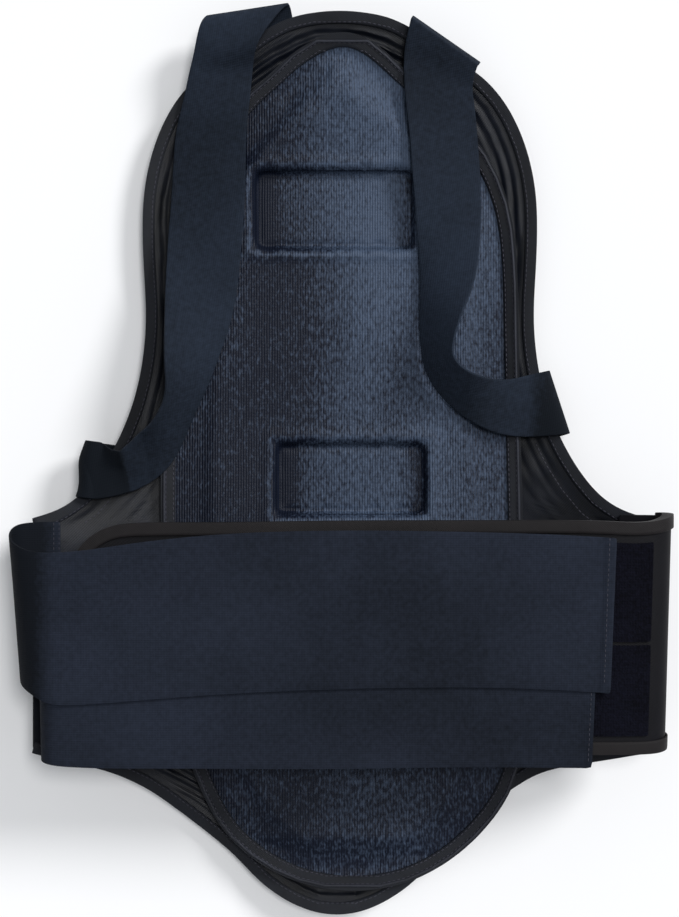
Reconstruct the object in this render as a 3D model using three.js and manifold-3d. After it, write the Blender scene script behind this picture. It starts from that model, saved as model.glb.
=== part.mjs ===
// Back protector for riding, lying on its outer side with the body side up and the belt closed over it.
// X runs across the back, Y towards the head end, Z from the outer side to the body side. Millimetres.
import * as THREE from 'three';
import { mergeVertices } from 'three/addons/utils/BufferGeometryUtils.js';
import Module from 'manifold-3d';

const wasm = await Module();
wasm.setup();

// Panel sizes
const backLength = 303;       // from the wings' upper corners to the head end
const wingHeight = 136;       // height of a wing's end
const tailLength = 100;       // from the wings' lower corners to the tail end
const shoulderHalf = 117.5;   // half the width over the shoulders, binding left out
const wingHalf = 182;         // from the middle to a wing's end
const baseThickness = 3.6;

// Lie of the panel: a flat middle, sides and ends that lift, and a slight hollow at the waist
const flatHalf = 58;
const wingRise = 30;
const sideCurve = 1.8;
const headLift = 20;
const headBend = 120;
const tailLift = 12;
const tailBend = 92;
const waistArch = 5;
const waistSpan = 200;

// Liner sizes
const linerLength = 512;
const linerHalf = 107;
const linerHeadInset = 12;    // how far the liner's peak stays below the head end
const linerEdge = 5;
const linerPadding = 13;
const linerRoll = 18;         // width over which the padding rises from the tape's inner edge
const windowDepth = 6;
const windowLip = 4;
const windowCorner = 7;

// Tapes that fold over the edges
const tapeThickness = 1;
const baseTapeFold = 5.5;
const linerTapeFold = 7;
const linerMargin = 6;        // flat width inside the liner's tape before the padding rises
const flapTapeFold = 6;

// Shoulder straps
const strapWidth = 45;
const strapThickness = 1.5;

// Belt
const beltHalf = 192;         // from the middle to the belt's turn
const beltDepth = 66;         // height of the flap's middle layer over the floor, at the middle
const beltArch = 5;           // how much lower the front lies near the turns
const bandHeight = 91;
const bandThickness = 1.6;
const flapHeight = 131;
const flapThickness = 4;
const patchThickness = 1.2;
const upperBandDrop = 4;      // the upper band's top edge below the flap's
const lowerBandDrop = 50;

const gap = 0.35;             // clearance between pieces that touch
const linerSeat = 1.1;        // the liner lies this far over the panel, whose facets stand a little proud
const strapGap = 0.8;
const strapSlack = 1.6;       // how far a strap's hidden end hangs under the panel's tape
const tapeGap = 0.65;         // clearance between a tape and the edge that it holds

// Outlines of the panel and the liner: half widths down the length
const wingReach = wingHalf - shoulderHalf;

const backOutline = [
  // along: share of backLength, shoulder: share of shoulderHalf, flare: share of wingReach
  { along: 1.000, shoulder: 0.00, flare: 0.00 },
  { along: 0.996, shoulder: 0.14, flare: 0.00 },
  { along: 0.980, shoulder: 0.31, flare: 0.00 },
  { along: 0.950, shoulder: 0.43, flare: 0.00 },
  { along: 0.910, shoulder: 0.58, flare: 0.00 },
  { along: 0.880, shoulder: 0.71, flare: 0.00 },
  { along: 0.840, shoulder: 0.81, flare: 0.00 },
  { along: 0.790, shoulder: 0.89, flare: 0.00 },
  { along: 0.730, shoulder: 0.95, flare: 0.00 },
  { along: 0.660, shoulder: 0.99, flare: 0.00 },
  { along: 0.580, shoulder: 1.00, flare: 0.00 },
  { along: 0.480, shoulder: 0.99, flare: 0.00 },
  { along: 0.400, shoulder: 0.98, flare: 0.00 },
  { along: 0.310, shoulder: 1.00, flare: 0.00 },
  { along: 0.240, shoulder: 1.00, flare: 0.07 },
  { along: 0.180, shoulder: 1.00, flare: 0.17 },
  { along: 0.130, shoulder: 1.00, flare: 0.28 },
  { along: 0.085, shoulder: 1.00, flare: 0.41 },
  { along: 0.045, shoulder: 1.00, flare: 0.56 },
  { along: 0.020, shoulder: 1.00, flare: 0.71 },
  { along: 0.008, shoulder: 1.00, flare: 0.85 },
  { along: 0.000, shoulder: 1.00, flare: 1.00 },
];

const tailOutline = [
  // along: share of tailLength from the tail's end, half and shift: shares of wingHalf
  { along: 1.00, half: 1.00, shift: 0.00 },
  { along: 0.94, half: 0.88, shift: -0.02 },
  { along: 0.86, half: 0.71, shift: -0.04 },
  { along: 0.75, half: 0.60, shift: -0.03 },
  { along: 0.63, half: 0.51, shift: -0.03 },
  { along: 0.49, half: 0.42, shift: -0.02 },
  { along: 0.34, half: 0.33, shift: -0.01 },
  { along: 0.19, half: 0.25, shift: -0.01 },
  { along: 0.08, half: 0.16, shift: -0.01 },
  { along: 0.02, half: 0.08, shift: -0.01 },
  { along: 0.00, half: 0.00, shift: -0.01 },
];

const linerOutline = [
  // along: share of linerLength from its tail, half and shift: shares of linerHalf
  { along: 1.000, half: 0.00, shift: 0.02 },
  { along: 0.996, half: 0.09, shift: 0.02 },
  { along: 0.978, half: 0.24, shift: 0.00 },
  { along: 0.955, half: 0.36, shift: 0.00 },
  { along: 0.935, half: 0.48, shift: 0.00 },
  { along: 0.905, half: 0.62, shift: 0.01 },
  { along: 0.865, half: 0.78, shift: 0.02 },
  { along: 0.830, half: 0.87, shift: 0.02 },
  { along: 0.790, half: 0.93, shift: 0.02 },
  { along: 0.730, half: 0.96, shift: 0.02 },
  { along: 0.640, half: 0.98, shift: 0.01 },
  { along: 0.430, half: 1.00, shift: 0.01 },
  { along: 0.250, half: 0.98, shift: 0.04 },
  { along: 0.170, half: 0.94, shift: 0.07 },
  { along: 0.125, half: 0.88, shift: 0.09 },
  { along: 0.085, half: 0.78, shift: 0.08 },
  { along: 0.055, half: 0.66, shift: 0.07 },
  { along: 0.032, half: 0.52, shift: 0.07 },
  { along: 0.012, half: 0.33, shift: 0.07 },
  { along: 0.003, half: 0.16, shift: 0.07 },
  { along: 0.000, half: 0.00, shift: 0.07 },
];

const windows = [
  // centre: along as a share of linerLength from its tail, across in shares of linerHalf, then the real sizes
  { along: 0.796, across: -0.03, width: 96, height: 47 },
  { along: 0.480, across: 0.06, width: 90, height: 43 },
];

// Straps: centre line in shares of shoulderHalf and backLength; side 0 is behind the panel and 1 in front;
// heading is the width's direction in plan and roll its tilt, in degrees; gather is a share of strapWidth.
const leftStrapRun = [
  { across: -0.39, along: 0.905, side: 0.00, heading: 8, roll: 0, gather: 0.98 },
  { across: -0.45, along: 0.991, side: 0.03, heading: 11, roll: 0, gather: 1.08 },
  { across: -0.47, along: 1.007, side: 0.50, heading: 9, roll: 0, gather: 1.10 },
  { across: -0.51, along: 0.986, side: 0.97, heading: 11, roll: 0, gather: 1.08 },
  { across: -0.58, along: 0.925, side: 1.00, heading: 12, roll: 0, gather: 0.88 },
  { across: -0.60, along: 0.890, side: 1.00, heading: 4, roll: 0, gather: 0.84 },
  { across: -0.61, along: 0.834, side: 1.00, heading: 2, roll: 0, gather: 0.89 },
  { across: -0.63, along: 0.760, side: 1.00, heading: 0, roll: 0, gather: 0.95 },
  { across: -0.64, along: 0.645, side: 1.00, heading: -2, roll: 0, gather: 0.98 },
  { across: -0.66, along: 0.535, side: 1.00, heading: -7, roll: -4, gather: 0.98 },
  { across: -0.68, along: 0.432, side: 1.00, heading: -11, roll: -14, gather: 0.95 },
  { across: -0.71, along: 0.355, side: 1.00, heading: -15, roll: -30, gather: 0.88 },
  { across: -0.74, along: 0.290, side: 1.00, heading: -19, roll: -44, gather: 0.82 },
  { across: -0.76, along: 0.235, side: 1.00, heading: -26, roll: -52, gather: 0.72 },
  { across: -0.78, along: 0.195, side: 1.00, heading: -31, roll: -48, gather: 0.70 },
  { across: -0.80, along: 0.160, side: 1.00, heading: -33, roll: -38, gather: 0.74 },
  { across: -0.84, along: 0.128, side: 1.00, heading: -34, roll: -22, gather: 0.82 },
  { across: -0.91, along: 0.104, side: 1.00, heading: -42, roll: -8, gather: 0.90 },
  { across: -0.99, along: 0.098, side: 1.00, heading: -60, roll: 0, gather: 0.86 },
  { across: -1.07, along: 0.100, side: 0.97, heading: -70, roll: 0, gather: 0.80 },
  { across: -1.11, along: 0.102, side: 0.50, heading: -70, roll: 0, gather: 0.80 },
  { across: -1.07, along: 0.098, side: 0.03, heading: -70, roll: 0, gather: 0.80 },
  { across: -0.96, along: 0.090, side: 0.00, heading: -74, roll: 0, gather: 0.80 },
  { across: -0.88, along: 0.082, side: 0.00, heading: -76, roll: 0, gather: 0.80 },
];

const rightStrapRun = [
  { across: 0.36, along: 0.860, side: 0.00, heading: -30, roll: 0, gather: 0.96 },
  { across: 0.46, along: 0.905, side: 0.00, heading: -33, roll: 0, gather: 1.00 },
  { across: 0.530, along: 0.942, side: 0.03, heading: -33, roll: 0, gather: 1.04 },
  { across: 0.545, along: 0.950, side: 0.50, heading: -33, roll: 0, gather: 1.08 },
  { across: 0.530, along: 0.940, side: 0.97, heading: -33, roll: 0, gather: 1.06 },
  { across: 0.50, along: 0.890, side: 1.00, heading: -24, roll: 0, gather: 1.00 },
  { across: 0.51, along: 0.828, side: 1.00, heading: -10, roll: 0, gather: 0.95 },
  { across: 0.53, along: 0.750, side: 1.00, heading: -7, roll: 0, gather: 0.92 },
  { across: 0.54, along: 0.690, side: 1.00, heading: -7, roll: 0, gather: 0.92 },
  { across: 0.55, along: 0.615, side: 1.00, heading: -8, roll: 4, gather: 0.88 },
  { across: 0.55, along: 0.548, side: 1.00, heading: -13, roll: 14, gather: 0.86 },
  { across: 0.54, along: 0.475, side: 1.00, heading: -18, roll: 30, gather: 0.82 },
  { across: 0.51, along: 0.415, side: 1.00, heading: -18, roll: 44, gather: 0.76 },
  { across: 0.49, along: 0.355, side: 1.00, heading: -10, roll: 52, gather: 0.68 },
  { across: 0.50, along: 0.308, side: 1.00, heading: 24, roll: 52, gather: 0.64 },
  { across: 0.56, along: 0.270, side: 1.00, heading: 46, roll: 44, gather: 0.66 },
  { across: 0.64, along: 0.245, side: 1.00, heading: 57, roll: 32, gather: 0.70 },
  { across: 0.72, along: 0.230, side: 1.00, heading: 64, roll: 18, gather: 0.74 },
  { across: 0.81, along: 0.223, side: 1.00, heading: 70, roll: 8, gather: 0.80 },
  { across: 0.92, along: 0.226, side: 1.00, heading: 78, roll: 0, gather: 0.84 },
  { across: 1.035, along: 0.232, side: 0.97, heading: 88, roll: 0, gather: 0.84 },
  { across: 1.065, along: 0.234, side: 0.50, heading: 90, roll: 0, gather: 0.84 },
  { across: 1.035, along: 0.230, side: 0.03, heading: 90, roll: 0, gather: 0.84 },
  { across: 0.96, along: 0.222, side: 0.00, heading: 90, roll: 0, gather: 0.84 },
  { across: 0.89, along: 0.212, side: 0.00, heading: 90, roll: 0, gather: 0.84 },
];

// Belt pieces: across in shares of beltHalf, rise from the wing (0) to the front (1),
// topDrop and bottomDrop in shares of the piece's height, slant in shares of beltHalf
const upperBandRun = [
  { across: -0.865, rise: 0.00, topDrop: -0.04, bottomDrop: -0.04, slant: 0.00 },
  { across: -0.930, rise: 0.00, topDrop: -0.04, bottomDrop: -0.04, slant: 0.00 },
  { across: -0.980, rise: 0.12, topDrop: -0.03, bottomDrop: -0.04, slant: 0.02 },
  { across: -1.000, rise: 0.36, topDrop: 0.00, bottomDrop: -0.03, slant: 0.03 },
  { across: -0.998, rise: 0.68, topDrop: 0.05, bottomDrop: 0.00, slant: 0.04 },
  { across: -0.970, rise: 0.92, topDrop: 0.10, bottomDrop: 0.05, slant: 0.05 },
  { across: -0.910, rise: 1.00, topDrop: 0.14, bottomDrop: 0.10, slant: 0.04 },
  { across: -0.780, rise: 1.00, topDrop: 0.13, bottomDrop: 0.10, slant: 0.02 },
  { across: -0.580, rise: 1.00, topDrop: 0.07, bottomDrop: 0.07, slant: 0.00 },
  { across: -0.330, rise: 1.00, topDrop: 0.02, bottomDrop: 0.03, slant: 0.00 },
  { across: 0.000, rise: 1.00, topDrop: 0.00, bottomDrop: 0.00, slant: 0.00 },
  { across: 0.400, rise: 1.00, topDrop: 0.01, bottomDrop: -0.01, slant: 0.00 },
  { across: 0.680, rise: 1.00, topDrop: 0.03, bottomDrop: 0.01, slant: -0.01 },
  { across: 0.830, rise: 1.00, topDrop: 0.05, bottomDrop: 0.03, slant: -0.02 },
];

const lowerBandRun = [
  { across: -0.775, rise: 0.00, topDrop: 0.00, bottomDrop: -0.03, slant: 0.00 },
  { across: -0.840, rise: 0.00, topDrop: 0.00, bottomDrop: -0.03, slant: 0.00 },
  { across: -0.885, rise: 0.12, topDrop: 0.00, bottomDrop: -0.03, slant: 0.01 },
  { across: -0.908, rise: 0.38, topDrop: 0.00, bottomDrop: -0.03, slant: 0.01 },
  { across: -0.910, rise: 0.72, topDrop: 0.00, bottomDrop: -0.03, slant: 0.01 },
  { across: -0.890, rise: 0.91, topDrop: 0.00, bottomDrop: -0.02, slant: 0.01 },
  { across: -0.850, rise: 0.99, topDrop: 0.00, bottomDrop: -0.01, slant: 0.01 },
  { across: -0.720, rise: 1.00, topDrop: 0.00, bottomDrop: 0.00, slant: 0.00 },
  { across: -0.400, rise: 1.00, topDrop: 0.00, bottomDrop: 0.00, slant: 0.00 },
  { across: 0.000, rise: 1.00, topDrop: 0.00, bottomDrop: 0.00, slant: 0.00 },
  { across: 0.400, rise: 1.00, topDrop: 0.00, bottomDrop: -0.01, slant: 0.00 },
  { across: 0.775, rise: 1.00, topDrop: 0.01, bottomDrop: 0.00, slant: -0.02 },
];

const flapRun = [
  { across: 0.865, rise: 0.00, topDrop: -0.03, bottomDrop: -0.02, slant: 0.00 },
  { across: 0.930, rise: 0.00, topDrop: -0.03, bottomDrop: -0.02, slant: 0.00 },
  { across: 0.980, rise: 0.12, topDrop: -0.03, bottomDrop: -0.02, slant: -0.01 },
  { across: 1.000, rise: 0.36, topDrop: -0.03, bottomDrop: -0.01, slant: -0.02 },
  { across: 0.995, rise: 0.64, topDrop: -0.02, bottomDrop: 0.00, slant: -0.02 },
  { across: 0.960, rise: 0.87, topDrop: 0.00, bottomDrop: 0.01, slant: -0.02 },
  { across: 0.890, rise: 0.97, topDrop: 0.01, bottomDrop: 0.01, slant: -0.02 },
  { across: 0.780, rise: 1.00, topDrop: 0.00, bottomDrop: 0.01, slant: -0.01 },
  { across: 0.400, rise: 1.00, topDrop: 0.00, bottomDrop: 0.00, slant: 0.00 },
  { across: 0.000, rise: 1.00, topDrop: 0.00, bottomDrop: 0.00, slant: 0.00 },
  { across: -0.400, rise: 1.00, topDrop: 0.01, bottomDrop: 0.00, slant: 0.00 },
  { across: -0.620, rise: 1.00, topDrop: 0.01, bottomDrop: 0.00, slant: 0.00 },
  { across: -0.700, rise: 1.00, topDrop: 0.03, bottomDrop: -0.01, slant: 0.00 },
  { across: -0.755, rise: 1.00, topDrop: 0.08, bottomDrop: -0.05, slant: 0.00 },
  { across: -0.788, rise: 1.00, topDrop: 0.14, bottomDrop: -0.10, slant: 0.00 },
  { across: -0.806, rise: 1.00, topDrop: 0.24, bottomDrop: -0.20, slant: 0.00 },
  { across: -0.815, rise: 1.00, topDrop: 0.38, bottomDrop: -0.36, slant: 0.00 },
];

const patches = [
  // share of the flap's run and of its height that each fastening patch covers
  { name: 'loop_patch_upper', runStart: 0.33, runEnd: 0.53, top: 0.08, bottom: 0.515 },
  { name: 'loop_patch_lower', runStart: 0.33, runEnd: 0.53, top: 0.53, bottom: 0.93 },
];

// Places along the length, from the wings' upper corners
const wingTop = 0;
const wingBottom = wingTop - wingHeight;
const headEnd = wingTop + backLength;
const tailEnd = wingBottom - tailLength;
const linerHead = headEnd - linerHeadInset;
const linerTail = linerHead - linerLength;
const beltTop = wingTop - gap;

// Small helpers
const mix = THREE.MathUtils.lerp;
const clamp01 = (value) => THREE.MathUtils.clamp(value, 0, 1);
const ease = (value) => THREE.MathUtils.smoothstep(value, 0, 1);

function spacedRows(points, count) {
  const curve = new THREE.CatmullRomCurve3(points, false, 'centripetal');
  return curve.getSpacedPoints(count);
}

// An outline row holds the half width in x, the place along the length in y and the middle's shift in z
function backRows(count) {
  return spacedRows(backOutline.map((row) => new THREE.Vector3(
    row.shoulder * shoulderHalf + row.flare * wingReach,
    mix(wingTop, headEnd, row.along),
    0,
  )), count);
}

function tailRows(count) {
  return spacedRows(tailOutline.map((row) => new THREE.Vector3(
    row.half * wingHalf,
    mix(tailEnd, wingBottom, row.along),
    row.shift * wingHalf,
  )), count);
}

function wingRows(count) {
  const rows = [];
  for (let step = 1; step < count; step += 1) {
    rows.push(new THREE.Vector3(wingHalf, mix(wingTop, wingBottom, step / count), 0));
  }
  return rows;
}

const baseBack = backRows(25);
const baseTail = tailRows(17);
const baseRows = [...baseBack, ...wingRows(7), ...baseTail];
const linerRows = spacedRows(linerOutline.map((row) => new THREE.Vector3(
  row.half * linerHalf,
  mix(linerTail, linerHead, row.along),
  row.shift * linerHalf,
)), 38);

// Width, shift and edge slope of an outline at a place along the length
function outlineAt(rows, y) {
  let index = 0;
  while (index < rows.length - 2 && rows[index + 1].y > y) {
    index += 1;
  }
  const upper = rows[index];
  const lower = rows[index + 1];
  const share = clamp01((upper.y - y) / (upper.y - lower.y));
  return {
    half: mix(upper.x, lower.x, share),
    shift: mix(upper.z, lower.z, share),
    slope: (upper.x - lower.x) / (upper.y - lower.y),
  };
}

// How far a point lies inside an outline, measured square to the edge; negative outside
function insideBy(rows, x, y) {
  const head = rows[0].y;
  const tail = rows[rows.length - 1].y;
  if (y > head || y < tail) {
    return Math.min(head - y, y - tail);
  }
  const { half, shift, slope } = outlineAt(rows, y);
  return Math.min((half - Math.abs(x - shift)) / Math.hypot(1, slope), head - y, y - tail);
}

// Heights of the surfaces over the floor
function panelUnder(x, y) {
  const side = clamp01((Math.abs(x) - flatHalf) / (wingHalf - flatHalf));
  const head = clamp01((y - (headEnd - headBend)) / headBend);
  const tail = clamp01(((tailEnd + tailBend) - y) / tailBend);
  const waist = clamp01(1 - Math.abs(y - mix(wingTop, wingBottom, 0.2)) / (waistSpan / 2));
  const hollow = waistArch * ease(waist) * (1 - side);
  return wingRise * side ** sideCurve + headLift * head ** 2 + tailLift * tail ** 2 + hollow;
}

const panelOver = (x, y) => panelUnder(x, y) + baseThickness;
const tapeLevel = tapeGap + tapeThickness;
const overTape = tapeLevel + gap;

// The liner rises over the panel's own tape where it reaches the panel's edge
function linerUnder(x, y) {
  const nearRim = 1 - clamp01((insideBy(baseRows, x, y) - baseTapeFold) / (3 * baseTapeFold));
  return panelOver(x, y) + mix(linerSeat, overTape + 3 * gap, ease(nearRim));
}

function linerOver(x, y) {
  const padding = ease((insideBy(linerRows, x, y) - linerTapeFold - linerMargin) / linerRoll);
  return linerUnder(x, y) + mix(linerEdge, linerPadding, padding);
}

// Highest surface near a point, which a strap lies on
function seatHeight(x, y) {
  const reach = 8;
  let highest = -Infinity;
  for (let step = 0; step < 8; step += 1) {
    const angle = (step / 8) * 2 * Math.PI;
    const px = x + reach * Math.cos(angle);
    const py = y + reach * Math.sin(angle);
    let top = panelOver(px, py) + tapeLevel;
    if (insideBy(linerRows, px, py) > -tapeLevel) {
      top = linerOver(px, py) + tapeLevel;
    }
    highest = Math.max(highest, top);
  }
  return highest;
}

// A closed body from two skins of equal grids; loop joins the last row to the first
function slab(front, back, loop = false) {
  const triangles = [];
  const quad = (a, b, c, d) => {
    triangles.push(a, b, c, a, c, d);
  };
  const rows = front.length;
  const columns = front[0].length;
  const lastRow = loop ? rows : rows - 1;
  for (let row = 0; row < lastRow; row += 1) {
    const next = (row + 1) % rows;
    for (let column = 0; column < columns - 1; column += 1) {
      quad(front[row][column], front[next][column], front[next][column + 1], front[row][column + 1]);
      quad(back[row][column + 1], back[next][column + 1], back[next][column], back[row][column]);
    }
    quad(back[row][0], back[next][0], front[next][0], front[row][0]);
    const end = columns - 1;
    quad(front[row][end], front[next][end], back[next][end], back[row][end]);
  }
  if (!loop) {
    const final = rows - 1;
    for (let column = 0; column < columns - 1; column += 1) {
      quad(front[0][column], front[0][column + 1], back[0][column + 1], back[0][column]);
      quad(front[final][column + 1], front[final][column], back[final][column], back[final][column + 1]);
    }
  }
  return closedGeometry(triangles);
}

// Merges shared corners, leaves out triangles without area and turns the faces outwards
function closedGeometry(corners) {
  const soup = new THREE.BufferGeometry();
  soup.setAttribute('position', new THREE.Float32BufferAttribute(corners.flatMap((p) => [p.x, p.y, p.z]), 3));
  const merged = mergeVertices(soup, 1e-3);
  const points = merged.getAttribute('position');
  const corner = (index) => new THREE.Vector3().fromBufferAttribute(points, index);
  const faces = [];
  let volume = 0;
  for (let face = 0; face < merged.index.count; face += 3) {
    const [a, b, c] = [0, 1, 2].map((offset) => merged.index.getX(face + offset));
    if (a !== b && b !== c && c !== a) {
      faces.push([a, b, c]);
      volume += corner(a).dot(corner(b).cross(corner(c)));
    }
  }
  const ordered = volume > 0 ? faces : faces.map(([a, b, c]) => [a, c, b]);
  merged.setIndex(ordered.flat());
  return merged;
}

// Panels that lie in plan: columns keep the given distances from the edge, and the rest are even between them.
// The steepest stretch keeps neighbouring rows in line where the edge runs across.
function panelSkin(rows, { edgeSteps, middleColumns, steepest }, height) {
  return rows.map((row, index) => {
    const before = rows[Math.max(index - 1, 0)];
    const after = rows[Math.min(index + 1, rows.length - 1)];
    const slope = (before.x - after.x) / (before.y - after.y);
    const widest = edgeSteps[edgeSteps.length - 1];
    const stretch = Math.min(Math.hypot(1, slope), steepest, row.x / (1.5 * widest));
    const sideStops = edgeSteps.map((step) => row.x - step * stretch);
    const inner = sideStops[sideStops.length - 1];
    const stops = sideStops.map((stop) => -stop);
    for (let column = 1; column <= middleColumns; column += 1) {
      stops.push(mix(-inner, inner, column / (middleColumns + 1)));
    }
    stops.push(...sideStops.reverse());
    return stops.map((stop) => new THREE.Vector3(row.z + stop, row.y, height(row.z + stop, row.y)));
  });
}

// The rim of some outline rows, from the left side round the first row to the right side
function rimOf(rows) {
  const left = rows.map((row) => new THREE.Vector2(row.z - row.x, row.y));
  const right = rows.map((row) => new THREE.Vector2(row.z + row.x, row.y));
  return [...left.reverse(), ...right.slice(1)];
}

// Cross-section of a folded tape: its inner skin stays clear of the edge that it holds
function tapeSection(overLip, overEdge, underEdge, underLip, outward, up) {
  const skin = (clearance) => {
    const over = [
      overLip.clone().addScaledVector(up, clearance),
      overEdge.clone().addScaledVector(up, clearance).addScaledVector(outward, clearance),
    ];
    if (!underLip) {
      return [...over, underEdge.clone().addScaledVector(outward, clearance)];
    }
    return [
      ...over,
      underEdge.clone().addScaledVector(up, -clearance).addScaledVector(outward, clearance),
      underLip.clone().addScaledVector(up, -clearance),
    ];
  };
  return { inner: skin(tapeGap), outer: skin(tapeLevel) };
}

function tapeSlab(sections, loop) {
  return slab(sections.map((section) => section.outer), sections.map((section) => section.inner), loop);
}

// A tape round a panel's rim; one that is sewn down on what lies below has no under side
function panelTape(rim, fold, over, under, sewnDown) {
  const loop = sewnDown;
  const count = rim.length;
  const up = new THREE.Vector3(0, 0, 1);
  const sections = rim.map((point, index) => {
    const before = rim[loop ? (index + count - 1) % count : Math.max(index - 1, 0)];
    const after = rim[loop ? (index + 1) % count : Math.min(index + 1, count - 1)];
    const along = after.clone().sub(before).normalize();
    const outward = new THREE.Vector3(-along.y, along.x, 0);
    const lip = new THREE.Vector2(point.x - outward.x * fold, point.y - outward.y * fold);
    return tapeSection(
      new THREE.Vector3(lip.x, lip.y, over(lip.x, lip.y)),
      new THREE.Vector3(point.x, point.y, over(point.x, point.y)),
      new THREE.Vector3(point.x, point.y, under(point.x, point.y)),
      sewnDown ? null : new THREE.Vector3(lip.x, lip.y, under(lip.x, lip.y)),
      outward,
      up,
    );
  });
  return tapeSlab(sections, loop);
}

// A cloth surface between two edge curves: u runs along it, v from its first edge to its second
function clothSurface(firstEdge, secondEdge) {
  const first = new THREE.CatmullRomCurve3(firstEdge, false, 'centripetal');
  const second = new THREE.CatmullRomCurve3(secondEdge, false, 'centripetal');
  const point = (u, v) => first.getPoint(u).lerp(second.getPoint(u), v);
  const normal = (u, v) => {
    const step = 0.004;
    const along = point(Math.min(u + step, 1), v).sub(point(Math.max(u - step, 0), v));
    const across = second.getPoint(u).sub(first.getPoint(u));
    return along.cross(across).normalize();
  };
  return { point, normal };
}

function clothSlab(surface, range, rows, columns, offset, thickness) {
  const skin = (height) => {
    const grid = [];
    for (let row = 0; row <= rows; row += 1) {
      const u = mix(range.start, range.end, row / rows);
      const line = [];
      for (let column = 0; column <= columns; column += 1) {
        const v = mix(range.top, range.bottom, column / columns);
        line.push(surface.point(u, v).addScaledVector(surface.normal(u, v), height));
      }
      grid.push(line);
    }
    return grid;
  };
  return slab(skin(offset + thickness / 2), skin(offset - thickness / 2));
}

const wholeCloth = { start: 0, end: 1, top: 0, bottom: 1 };

// Half the panel's width where a strap passes, the head's rounding left out
const reachAt = (y) => Math.max(outlineAt(baseBack, y).half, shoulderHalf);

// Straps lie on the seat height in front of the panel and under it behind
function strapSurface(run) {
  const firstEdge = [];
  const secondEdge = [];
  for (const row of run) {
    const heading = THREE.MathUtils.degToRad(row.heading);
    const roll = THREE.MathUtils.degToRad(row.roll);
    const half = (strapWidth / 2) * row.gather;
    const place = (edge) => {
      const y = wingTop + row.along * backLength + edge * half * Math.cos(roll) * Math.sin(heading);
      const x = row.across * reachAt(y) + edge * half * Math.cos(roll) * Math.cos(heading);
      return new THREE.Vector3(x, y, 0);
    };
    const first = place(-1);
    const second = place(1);
    const over = (point) => seatHeight(point.x, point.y) + strapGap + strapThickness / 2;
    const under = (point) => panelUnder(point.x, point.y) - tapeLevel - strapSlack - strapThickness / 2;
    const shares = [0.25, 0.5, 0.75];
    const hump = Math.max(0, ...shares.map((share) => (
      over(first.clone().lerp(second, share)) - mix(over(first), over(second), share)
    )));
    const level = (point, edge) => {
      const tilt = half * (Math.abs(Math.sin(roll)) + edge * Math.sin(roll));
      return mix(under(point), over(point) + hump, row.side) + tilt;
    };
    firstEdge.push(first.setZ(level(first, -1)));
    secondEdge.push(second.setZ(level(second, 1)));
  }
  return clothSurface(firstEdge, secondEdge);
}

// Belt pieces lie on the wing behind and on the belt's front line before the body
function beltSurface(run, height, top, rearOffset, frontOffset) {
  const edge = (bottom) => run.map((row) => {
    const x = (row.across + (bottom ? row.slant : 0)) * beltHalf;
    const drop = bottom ? 1 + row.bottomDrop : row.topDrop;
    const y = top - drop * height;
    const rear = panelOver(x, y) + overTape + rearOffset;
    const front = beltDepth - beltArch * (x / beltHalf) ** 2 + frontOffset;
    return new THREE.Vector3(x, y, mix(rear, front, row.rise));
  });
  return clothSurface(edge(false), edge(true));
}

function pressWindow(pad, place) {
  const x = place.across * linerHalf;
  const y = mix(linerTail, linerHead, place.along);
  const floor = linerOver(x, y) - windowDepth;
  const halfWidth = place.width / 2;
  const halfHeight = place.height / 2;
  const outline = new THREE.Shape();
  const inner = windowCorner;
  outline.moveTo(-halfWidth + inner, -halfHeight);
  outline.lineTo(halfWidth - inner, -halfHeight);
  outline.quadraticCurveTo(halfWidth, -halfHeight, halfWidth, -halfHeight + inner);
  outline.lineTo(halfWidth, halfHeight - inner);
  outline.quadraticCurveTo(halfWidth, halfHeight, halfWidth - inner, halfHeight);
  outline.lineTo(-halfWidth + inner, halfHeight);
  outline.quadraticCurveTo(-halfWidth, halfHeight, -halfWidth, halfHeight - inner);
  outline.lineTo(-halfWidth, -halfHeight + inner);
  outline.quadraticCurveTo(-halfWidth, -halfHeight, -halfWidth + inner, -halfHeight);
  const press = new THREE.ExtrudeGeometry(outline, {
    depth: windowDepth,
    curveSegments: 4,
    bevelEnabled: true,
    bevelSize: windowLip,
    bevelOffset: -windowLip,
    bevelThickness: windowLip,
    bevelSegments: 2,
  });
  press.translate(x, y, floor + windowLip);
  return toGeometry(toSolid(pad).subtract(toSolid(press)));
}

function toSolid(geometry) {
  const bare = geometry.clone();
  bare.deleteAttribute('normal');
  bare.deleteAttribute('uv');
  const merged = mergeVertices(bare, 1e-4);
  return new wasm.Manifold(new wasm.Mesh({
    numProp: 3,
    vertProperties: new Float32Array(merged.getAttribute('position').array),
    triVerts: new Uint32Array(merged.index.array),
  }));
}

function toGeometry(solid) {
  const mesh = solid.getMesh();
  const geometry = new THREE.BufferGeometry();
  geometry.setAttribute('position', new THREE.BufferAttribute(mesh.vertProperties, 3));
  geometry.setIndex(new THREE.BufferAttribute(mesh.triVerts, 1));
  return geometry;
}

// Materials
const cloth = (color, roughness) => () => new THREE.MeshStandardMaterial({ color, roughness, metalness: 0 });
const baseCloth = cloth(0x1c1d26, 0.9);
const bindingTape = cloth(0x232027, 0.75);
const linerCloth = cloth(0x333a49, 0.7);
const elasticCloth = cloth(0x222833, 0.95);
const loopCloth = cloth(0x11131d, 1);

function piece(name, geometry, material) {
  geometry.computeVertexNormals();
  const mesh = new THREE.Mesh(geometry, material());
  mesh.name = name;
  return mesh;
}

// Panel with its tapes
function basePanel() {
  const grid = { edgeSteps: [0, baseTapeFold + gap, 4 * baseTapeFold], middleColumns: 8, steepest: 1.4 };
  const skins = [panelOver, panelUnder].map((height) => panelSkin(baseRows, grid, height));
  return piece('base_panel', slab(...skins), baseCloth);
}

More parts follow.
